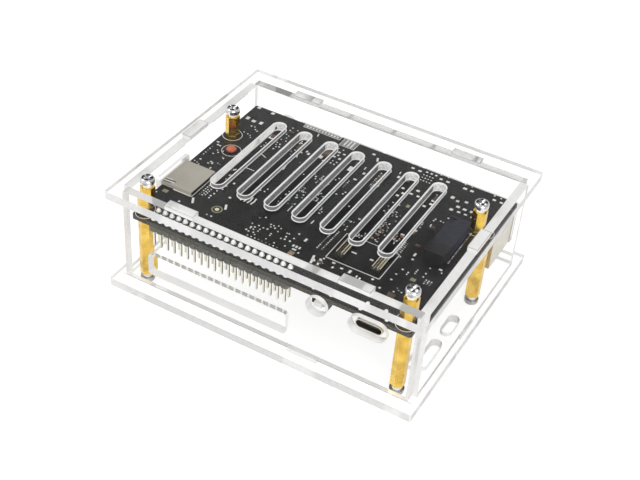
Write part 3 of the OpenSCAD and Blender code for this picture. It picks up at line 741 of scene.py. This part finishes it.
# Bare pads, as (x, y, width, depth)
padLook = {
    "lift": 0.01,
    "thick": 0.05,
    "pads": (
        (-42.3, 34.8, 1.5, 1.4), (-48.2, 35.2, 1.5, 1.5), (-48.0, 27.3, 1.5, 1.9), (-45.3, 26.8, 1.7, 1.5),
        (-42.5, 27.2, 1.4, 1.9), (-48.4, 9.1, 1.1, 0.7), (-47.5, 7.7, 0.8, 0.7), (-46.6, 7.6, 0.7, 0.7),
        (13.6, 33.9, 1.3, 1.0), (16.3, 33.7, 1.4, 1.0), (24.2, 33.6, 1.2, 1.0), (26.8, 33.5, 1.4, 1.0),
        (33.1, 33.4, 1.6, 1.1), (35.6, 33.4, 1.4, 1.1), (43.7, 33.2, 1.3, 1.0), (46.2, 33.1, 1.2, 1.0),
        (15.1, 23.8, 1.2, 1.0), (16.3, 21.3, 1.2, 1.0), (15.3, 19.2, 1.2, 1.0), (20.7, 23.3, 1.4, 1.1),
        (18.4, 23.1, 1.1, 1.0), (19.5, 20.6, 1.3, 1.0), (22.0, 20.6, 1.1, 1.0), (26.4, 23.2, 1.2, 1.1),
        (26.6, 21.2, 1.2, 1.1), (25.2, 19.0, 1.2, 1.1), (31.7, 26.6, 1.4, 1.6), (33.9, 25.7, 1.2, 1.1),
        (36.6, 26.8, 1.3, 1.1), (35.3, 23.0, 1.4, 1.3), (37.7, 22.9, 1.5, 1.2), (40.0, 23.0, 1.0, 1.2),
        (34.0, 20.5, 1.4, 1.3), (36.6, 20.6, 1.3, 1.0), (39.0, 20.6, 1.3, 0.8), (41.1, 20.4, 0.7, 0.7),
        (-1.0, 33.3, 1.3, 1.0), (-9.3, 27.4, 1.1, 0.9), (-11.3, 27.5, 1.1, 0.9), (-14.2, 27.6, 1.0, 0.9),
        (-11.5, 24.4, 1.1, 0.9), (-9.4, 24.2, 1.0, 1.1), (-12.4, 25.8, 0.9, 0.7), (-10.8, 25.8, 0.8, 0.7),
        (0.5, 17.0, 1.3, 0.9), (1.4, 21.6, 0.9, 1.3), (8.2, 27.6, 1.1, 0.9), (8.3, 18.2, 1.3, 0.9),
        (11.9, 26.5, 1.0, 1.3), (29.2, 4.1, 1.3, 1.1), (26.0, 1.8, 1.5, 0.9), (-28.0, -14.7, 1.0, 0.8),
        (-31.0, -7.6, 0.8, 0.9), (3.0, -19.4, 0.9, 1.8), (1.2, -23.8, 0.8, 1.2), (2.3, -23.8, 0.8, 1.2),
        (3.4, -23.8, 0.7, 1.2), (2.3, -25.3, 1.7, 0.8), (15.5, -24.0, 1.2, 0.8), (16.2, -26.0, 0.8, 1.0),
        (21.5, -24.8, 1.0, 1.7), (18.7, -24.9, 1.1, 0.8), (24.2, -25.6, 0.6, 1.1), (25.4, -25.9, 0.7, 1.0),
        (28.8, -24.0, 0.9, 0.8), (34.3, -6.6, 0.8, 1.8), (34.7, -9.0, 0.9, 0.8), (34.3, -14.9, 0.8, 0.7),
        (33.5, -20.9, 0.8, 0.7), (33.6, -17.9, 0.8, 0.5), (32.3, -26.2, 0.8, 0.8), (44.0, -8.6, 1.3, 0.8),
        (-40.2, -25.4, 0.8, 0.7), (-47.7, -2.5, 0.8, 0.7), (-43.9, -1.8, 0.8, 0.6), (-44.3, -3.0, 0.8, 0.6),
        (12.0, -23.9, 0.7, 0.7), (-19.5, 20.7, 0.9, 1.4), (-20.6, 21.6, 0.7, 1.1), (-21.8, 20.0, 0.6, 0.7),
        (18.6, 34.5, 0.9, 0.8), (20.3, 34.5, 0.9, 0.8), (22.0, 34.5, 0.9, 0.8), (6.7, -6.8, 1.0, 3.4),
        (-36.1, 24.2, 2.0, 2.8), (-16.4, 24.0, 1.9, 2.8), (-4.5, 23.4, 1.9, 3.2), (-26.0, 26.6, 1.0, 1.4),
    ),
    "contactX": (-43.5, -42.4, -41.3, -40.1),
    "contactY": -6.3,
}


def padsOnBoard(look):
    low = boardTop + look["lift"]
    high = low + look["thick"]
    form = newForm()
    for x, y, wide, deep in look["pads"]:
        slab(form, oblong(x, y, wide * 0.85, deep * 0.85), low, high)
    for x in look["contactX"]:
        slab(form, oblong(x, look["contactY"], 0.6, 0.8), low, high)
    makePiece("boardPads", form, tin)


# Plated holes and tiny lands: single spots, rows as (x, y, step x, step y, count), and loose fields
# as (low x, low y, high x, high y, count)
viaLook = {
    "seed": 7,
    "lift": 0.01,
    "thick": 0.03,
    "radius": 0.27,
    "spots": (
        (-31.8, 31.0), (-29.6, 30.6), (-31.8, 29.2), (-30.4, 28.2), (-33.0, 28.3), (-31.7, 26.5), (-30.5, 26.0),
        (-33.0, 24.5), (-31.6, 22.8), (-29.7, 22.8), (-30.5, 24.5), (-33.0, 21.5), (-31.8, 20.5), (-30.4, 20.0),
        (-31.5, 19.2), (-30.8, 18.0), (-30.9, 16.5), (-29.8, 18.5), (-26.2, 28.0), (-25.6, 26.8), (-25.4, 25.7),
        (-25.5, 24.3), (-25.2, 23.0), (-25.5, 22.0), (-36.0, 20.0), (-35.8, 18.5), (-36.2, 17.3), (-44.3, 23.8),
        (-43.0, 24.0), (-42.0, 22.7), (-41.0, 22.2), (-44.4, 19.2), (-42.8, 19.0), (-41.6, 18.6), (-40.9, 17.7),
        (-45.9, 5.0), (-45.0, 4.0), (-46.0, 2.5), (-44.0, 5.5), (-12.7, 29.5), (-10.8, 29.5), (-14.6, 25.7),
        (-14.6, 22.2), (-12.2, 21.9), (-10.8, 22.0), (-9.2, 21.9), (-12.1, 20.5), (-10.8, 20.5), (-9.4, 20.4),
        (-12.0, 12.0), (-11.0, 11.0), (-10.5, 9.8), (-9.0, 12.5), (-9.0, 11.5), (-9.0, 10.5), (-12.5, 13.0),
        (8.4, 10.8), (5.0, 5.0), (1.0, 7.8), (1.3, 9.0), (-0.7, 6.5), (-22.0, -5.8), (-20.6, -5.6), (-20.4, -4.0),
        (-32.4, -12.3), (-33.4, -14.0), (-33.3, -15.8), (-33.6, -17.3), (-33.5, -18.5), (-32.3, -10.2),
        (-29.2, -26.0), (-27.6, -26.0), (-14.6, -18.0), (-15.0, -25.3), (-14.4, -23.4), (-49.0, -25.4),
        (-14.5, -18.0), (-13.1, -16.8), (-7.5, -18.2), (-9.9, -18.9), (-8.8, -19.0), (-6.2, -18.9), (-9.3, -20.0),
        (-7.9, -19.8), (-6.3, -20.7), (-3.5, -19.8), (-2.8, -19.7), (-0.2, -18.0), (-15.0, -21.7), (-12.7, -21.5),
        (-11.0, -21.7), (-9.6, -21.5), (-2.9, -21.4), (-13.4, -22.8), (-11.5, -22.9), (-7.5, -22.8), (-3.8, -23.0),
        (-2.6, -22.7), (-0.8, -22.6), (-14.3, -24.0), (-13.2, -24.0), (-11.5, -24.0), (-7.4, -23.7), (-12.4, -25.3),
        (-14.0, -25.6), (-11.5, -26.0), (-7.5, -25.8), (-4.4, -26.0), (-0.9, -25.4), (-0.4, -20.8), (4.2, -26.0),
        (19.0, 13.0), (32.0, 13.0), (31.8, 12.0), (33.8, 13.0), (34.8, 12.9), (35.2, 15.8), (34.0, 7.8),
        (18.7, 5.5), (18.8, 3.5), (18.8, 1.0), (36.3, -15.2), (36.3, -16.2), (41.0, -12.7), (41.0, -14.5),
        (-47.6, -4.6), (-46.6, -5.2), (-48.8, -4.3), (31.0, -10.0), (12.5, 36.0), (15.3, 36.0), (23.2, 35.8),
        (25.9, 35.8), (32.3, 35.6), (34.7, 35.6), (42.9, 35.4), (45.3, 35.2), (41.0, -9.7), (44.9, -9.8),
    ),
    "rows": (
        (-48.5, 5.7, 0.0, -1.3, 5), (-0.7, 15.0, 0.0, -0.98, 5), (5.25, 18.6, 0.0, 0.95, 10),
        (6.05, 18.2, 0.0, 0.95, 10), (6.8, 17.9, 0.0, 0.95, 8), (6.9, 8.2, 0.1, 0.95, 8),
        (7.9, -10.4, -0.02, -0.92, 12), (9.5, -10.2, -0.02, -0.92, 12), (-37.0, -10.8, 0.0, -1.1, 8),
        (-36.1, -10.8, 0.0, -1.1, 8), (-35.3, -11.2, 0.0, -1.1, 7), (-13.2, -27.4, 1.33, 0.0, 9),
        (28.2, -3.2, 0.0, -0.95, 7), (29.3, -3.0, 0.0, -0.95, 7), (30.1, -3.2, 0.0, -0.95, 6),
        (42.4, -15.3, 0.0, -0.85, 3), (43.3, -15.3, 0.0, -0.85, 3), (44.2, -15.3, 0.0, -0.85, 3),
        (38.2, -12.6, 0.0, -0.9, 3), (18.3, 32.6, 1.1, 0.0, 4), (18.5, 31.0, 1.1, 0.0, 4), (18.6, 29.4, 1.1, 0.0, 4),
        (29.4, 9.0, 0.1, -0.9, 4), (44.55, 12.8, 0.0, -0.9, 20),
    ),
    "fields": (
        (-15.5, -7.5, -8.5, 2.0, 26), (-13.5, 0.0, -9.0, 5.0, 16), (-6.5, 0.0, -1.8, 6.0, 26),
        (-9.5, 8.0, -5.5, 14.0, 16), (17.8, -8.0, 22.5, 2.5, 36), (24.2, -4.0, 27.5, 2.5, 14),
        (9.0, -8.0, 12.0, -0.5, 9), (13.5, -7.5, 17.0, -3.5, 12), (18.0, 3.0, 22.0, 10.0, 8),
        (-37.2, -7.5, -35.0, 4.0, 8), (-43.5, -5.5, -40.0, 5.0, 7), (-8.0, 14.5, -5.0, 17.0, 4),
        (14.8, 4.0, 17.2, 18.0, 7), (-2.2, -6.5, 0.5, -2.0, 5), (25.0, 26.0, 28.0, 30.0, 4),
        (-19.5, 9.0, -15.0, 17.0, 4), (35.5, -27.5, 39.0, -22.5, 5), (-24.0, 16.0, -20.5, 21.0, 4),
        (-35.5, 3.0, -34.0, 24.0, 6), (-26.5, 12.0, -24.5, 21.0, 4),
    ),
}


def viasOnBoard(look):
    rng = random.Random(look["seed"])
    low = boardTop + look["lift"]
    high = low + look["thick"]
    form = newForm()
    dim = newForm()
    for x, y in look["spots"]:
        slab(form, disc(x, y, look["radius"] * rng.uniform(0.9, 1.35)), low, high)
    for x, y, stepX, stepY, count in look["rows"]:
        for i in range(count):
            spot = oblong(x + stepX * i, y + stepY * i, 0.5, 0.4) if i % 2 else disc(x + stepX * i, y + stepY * i, 0.24)
            slab(dim if rng.random() < 0.35 else form, spot, low, high)
    for lowX, lowY, highX, highY, count in look["fields"]:
        for i in range(count):
            x, y = rng.uniform(lowX, highX), rng.uniform(lowY, highY)
            if rng.random() < 0.5:
                spot = oblong(x, y, rng.uniform(0.35, 0.9), rng.uniform(0.3, 0.5), rng.choice((0, 90)))
            else:
                spot = disc(x, y, look["radius"] * rng.uniform(0.7, 1.2))
            slab(dim if rng.random() < 0.4 else form, spot, low, high)
    makePiece("boardVias", form, tin)
    makePiece("dimVias", dim, greyInk)


# Pale gold spot with its olive ring, and the olive pads: (x, y, radius or size)
goldLook = {
    "spot": (-28.0, -22.1, 0.75),
    "ring": (-28.0, -22.1, 1.85, 1.35),
    "pads": ((-47.0, -23.4, 1.9, 1.5), (39.0, -17.4, 1.7, 1.4), (21.6, 14.0, 1.1, 1.5), (2.4, -27.0, 1.9, 1.5)),
}


def goldOnBoard(look):
    low = boardTop + 0.012
    form = newForm()
    x, y, radius = look["spot"]
    slab(form, disc(x, y, radius, 24), low, low + 0.04)
    makePiece("goldSpot", form, paleGold)
    form = newForm()
    x, y, outer, inner = look["ring"]
    hoop(form, disc(x, y, outer, 36), disc(x, y, inner, 36), low, low + 0.03)
    for x, y, wide, deep in look["pads"]:
        slab(form, oblong(x, y, wide, deep), low, low + 0.03)
    makePiece("olivePads", form, olive)


# Brown chip parts on the upper side, as (x, y, width, depth)
brownLook = {
    "tall": 0.45,
    "parts": ((18.6, -3.4, 1.2, 0.7), (18.2, -5.8, 1.3, 0.8), (19.3, -1.4, 1.0, 0.6), (20.4, -4.6, 0.9, 0.6),
              (21.0, -2.8, 0.7, 0.5), (29.0, 2.5, 1.3, 1.1), (26.4, 0.6, 1.1, 0.6), (2.4, -28.0, 1.6, 0.6),
              (19.6, -7.0, 0.8, 0.5), (24.9, -1.6, 0.8, 0.5)),
}


def brownOnBoard(look):
    form = newForm()
    for x, y, wide, deep in look["parts"]:
        slab(form, oblong(x, y, wide, deep), boardTop + 0.01, boardTop + look["tall"])
    makePiece("brownParts", form, brownCeramic)


# Fine lines where cut edges meet, as painted shade: frames round the tabs on the lid, the walls' upper edges under it,
# the front wall's foot, and grey spots along the window's upper edge as a painted reflection of the pins
lineLook = {
    "wide": 0.15,
    "thick": 0.03,
    "gap": 0.02,
    "tabs": ((-30.3, 38.1, 10.2, 3.2), (30.3, 38.1, 10.2, 3.2), (-30.3, -38.1, 10.2, 3.2), (30.3, -38.1, 10.2, 3.2),
             (-51.5, 0.0, 3.2, 10.2), (51.5, 0.0, 3.2, 10.2)),
    "underLid": (((-49.8, 36.5), (49.8, 36.5)), ((-24.5, 39.75), (24.5, 39.75)), ((-49.9, -30.0), (-49.9, -8.0)),
                 ((-49.9, 8.0), (-49.9, 30.0))),
    "foot": (((-52.8, -39.75), (9.8, -39.75)), ((20.2, -39.75), (52.8, -39.75))),
    "window": (-40.2, 7.8, 18.0),
    "glintY": -38.3,
    "glintStep": 1.27,
    "glint": (0.45, 1.3),
}


def linesOnCase(look):
    gap, thick = look["gap"], look["thick"]
    form = newForm()
    for x, y, wide, deep in look["tabs"]:
        outer = oblong(x, y, wide + 2 * look["wide"], deep + 2 * look["wide"])
        hoop(form, outer, oblong(x, y, wide, deep), lidTop + gap, lidTop + gap + thick)
    for start, end in look["underLid"]:
        slab(form, stroke(start, end, look["wide"]), lidLow - gap - thick, lidLow - gap)
    floorTop = top("bottom_plate")
    for start, end in look["foot"]:
        slab(form, stroke(start, end, look["wide"]), floorTop + gap, floorTop + gap + 2 * thick)
    low, high, ceiling = look["window"]
    wide, deep = look["glint"]
    for i in range(int((high - low) / look["glintStep"])):
        spot = oblong(low + i * look["glintStep"], look["glintY"], wide, deep)
        slab(form, spot, ceiling - gap - 2 * thick, ceiling - gap)
    makePiece("paintedShadeLines", form, paintedShadeGrey)


# Slots and spring ends on the card socket's shell, as (start, end, width), and its bright front lip
cardLook = {
    "slots": (((-49.7, -19.4), (-45.8, -19.1), 0.42), ((-49.7, -20.6), (-46.9, -20.4), 0.36)),
    "springs": (((-49.7, -20.0), (-46.0, -19.75), 0.36), ((-49.7, -18.8), (-47.5, -18.6), 0.3)),
    "lips": (((-45.4, -21.35), (-38.6, -21.35), 0.32), ((-38.35, -21.3), (-38.35, -7.4), 0.26)),
    "lift": 0.015,
    "thick": 0.03,
}


def trimOnCard(look):
    shellTop = top("card_shell") + look["lift"]
    dark, bright = newForm(), newForm()
    for start, end, wide in look["slots"]:
        slab(dark, stroke(start, end, wide), shellTop, shellTop + look["thick"])
    for start, end, wide in look["springs"]:
        slab(bright, stroke(start, end, wide), shellTop, shellTop + look["thick"])
    for start, end, wide in look["lips"]:
        slab(bright, stroke(start, end, wide), boardTop + look["lift"], boardTop + 4 * look["thick"])
    makePiece("cardSlots", dark, blackPlastic)
    makePiece("cardTrim", bright, tin)


# Domed round part near the back left corner, in the place of its plain solid
domeLook = {
    "steps": 10,
    "sides": 40,
    "foot": 0.35,
    "swell": 1.04,
}


def domeOnBoard(look):
    low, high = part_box("round_capacitor")
    x, y = (low[0] + high[0]) / 2 / mm, (low[1] + high[1]) / 2 / mm
    radius = (high[0] - low[0]) / 2 / mm
    tall = (high[2] - low[2]) / mm
    profile = [(radius * 0.9, 0.0), (radius, look["foot"])]
    for i in range(1, look["steps"] + 1):
        lean = math.pi / 2 * i / look["steps"] * 0.985
        profile.append((radius * math.cos(lean), look["foot"] + (tall - look["foot"]) * math.sin(lean)))
    form = newForm()
    bead(form, x, y, low[2] / mm, profile, look["sides"])
    piece = makePiece("roundDome", form, orangeDome, smooth=True)
    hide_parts("round_capacitor")


# Gold contact lines on top of the module sockets, in mm from each socket's middle: (x, half length)
contactLook = {
    "sockets": ("module_socket_left", "module_socket_right"),
    "rows": ((-1.35, 4.6), (0.35, 4.6), (1.25, 4.6)),
    "wide": 0.34,
    "step": 0.72,
    "thick": 0.04,
}


def contactsOnSockets(look):
    form = newForm()
    for name in look["sockets"]:
        low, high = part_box(name)
        x, y = (low[0] + high[0]) / 2 / mm, (low[1] + high[1]) / 2 / mm
        for offset, half in look["rows"]:
            count = int(2 * half / look["step"])
            for i in range(count):
                place = y + (i - (count - 1) / 2) * look["step"]
                slab(form, oblong(x + offset, place, look["wide"], look["step"] * 0.78),
                     high[2] / mm + 0.01, high[2] / mm + 0.01 + look["thick"])
    makePiece("socketContacts", form, contactGold)


# Solder joints: the header's forty, and those of the button's and power socket's legs
jointLook = {
    "pinPitch": 2.54,
    "pinCount": 20,
    "headerProfile": ((0.92, 0.0), (0.90, 0.12), (0.78, 0.40), (0.62, 0.75), (0.52, 1.02), (0.30, 1.16)),
    "legs": ((15.4, -34.3), (21.3, -34.3), (31.3, -34.6), (39.9, -34.6), (32.6, -32.6), (38.6, -32.6)),
    "legProfile": ((0.62, 0.0), (0.60, 0.10), (0.45, 0.32), (0.22, 0.42)),
}


def solderOnBoard(look):
    headLow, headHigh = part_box("header_pins")
    rowX = (headLow[0] + headHigh[0]) / 2 / mm
    rowY = (headLow[1] + headHigh[1]) / 2 / mm
    form = newForm()
    for i in range(look["pinCount"]):
        x = rowX + (i - (look["pinCount"] - 1) / 2) * look["pinPitch"]
        for side in (-0.5, 0.5):
            bead(form, x, rowY + side * look["pinPitch"], boardTop + 0.01, look["headerProfile"])
    for x, y in look["legs"]:
        bead(form, x, y, boardTop + 0.01, look["legProfile"])
    makePiece("solderJoints", form, tin, smooth=True)


# Painted highlight: bright white rims of the vents on both faces of the lid, in mm
rimLook = {
    "count": 7,
    "pitch": 9.9,
    "middleX": 0.4,
    "middleY": -1.3,
    "wide": 4.4,
    "long": 41.2,
    "band": 0.34,
    "thick": 0.05,
    "gap": 0.02,
    "sleeve": 0.07,
    "sleeveTall": 0.34,
}


def ventOutline(x, y, wide, long, count=14):
    radius = wide / 2
    reach = long / 2 - radius
    line = [(x + radius * math.cos(math.pi * i / count), y + reach + radius * math.sin(math.pi * i / count))
            for i in range(count + 1)]
    line += [(x - radius * math.cos(math.pi * i / count), y - reach - radius * math.sin(math.pi * i / count))
             for i in range(count + 1)]
    return line


def rimsOnLid(look):
    form = newForm()
    for i in range(look["count"]):
        x = look["middleX"] + (i - (look["count"] - 1) / 2) * look["pitch"]
        inner = ventOutline(x, look["middleY"], look["wide"], look["long"])
        outer = ventOutline(x, look["middleY"], look["wide"] + 2 * look["band"], look["long"] + 2 * look["band"])
        low = lidTop + look["gap"]
        hoop(form, outer, inner, low, low + look["thick"])
        high = lidLow - look["gap"]
        hoop(form, outer, inner, high - look["thick"], high)
        near, far = look["gap"], look["gap"] + look["sleeve"]
        skin = ventOutline(x, look["middleY"], look["wide"] - 2 * near, look["long"] - 2 * near)
        core = ventOutline(x, look["middleY"], look["wide"] - 2 * far, look["long"] - 2 * far)
        hoop(form, skin, core, lidTop - look["sleeveTall"], lidTop + look["thick"])
        hoop(form, skin, core, lidLow - look["thick"], lidLow + look["sleeveTall"])
    makePiece("ventRimHighlights", form, paintedHighlightWhite)


print("board print")
printOnBoard(printLook)
padsOnBoard(padLook)
viasOnBoard(viaLook)
goldOnBoard(goldLook)
print("brown parts and edge lines")
brownOnBoard(brownLook)
linesOnCase(lineLook)
print("card socket and round dome")
trimOnCard(cardLook)
domeOnBoard(domeLook)
print("contacts and solder")
contactsOnSockets(contactLook)
solderOnBoard(jointLook)
print("rims")
rimsOnLid(rimLook)

print("done")
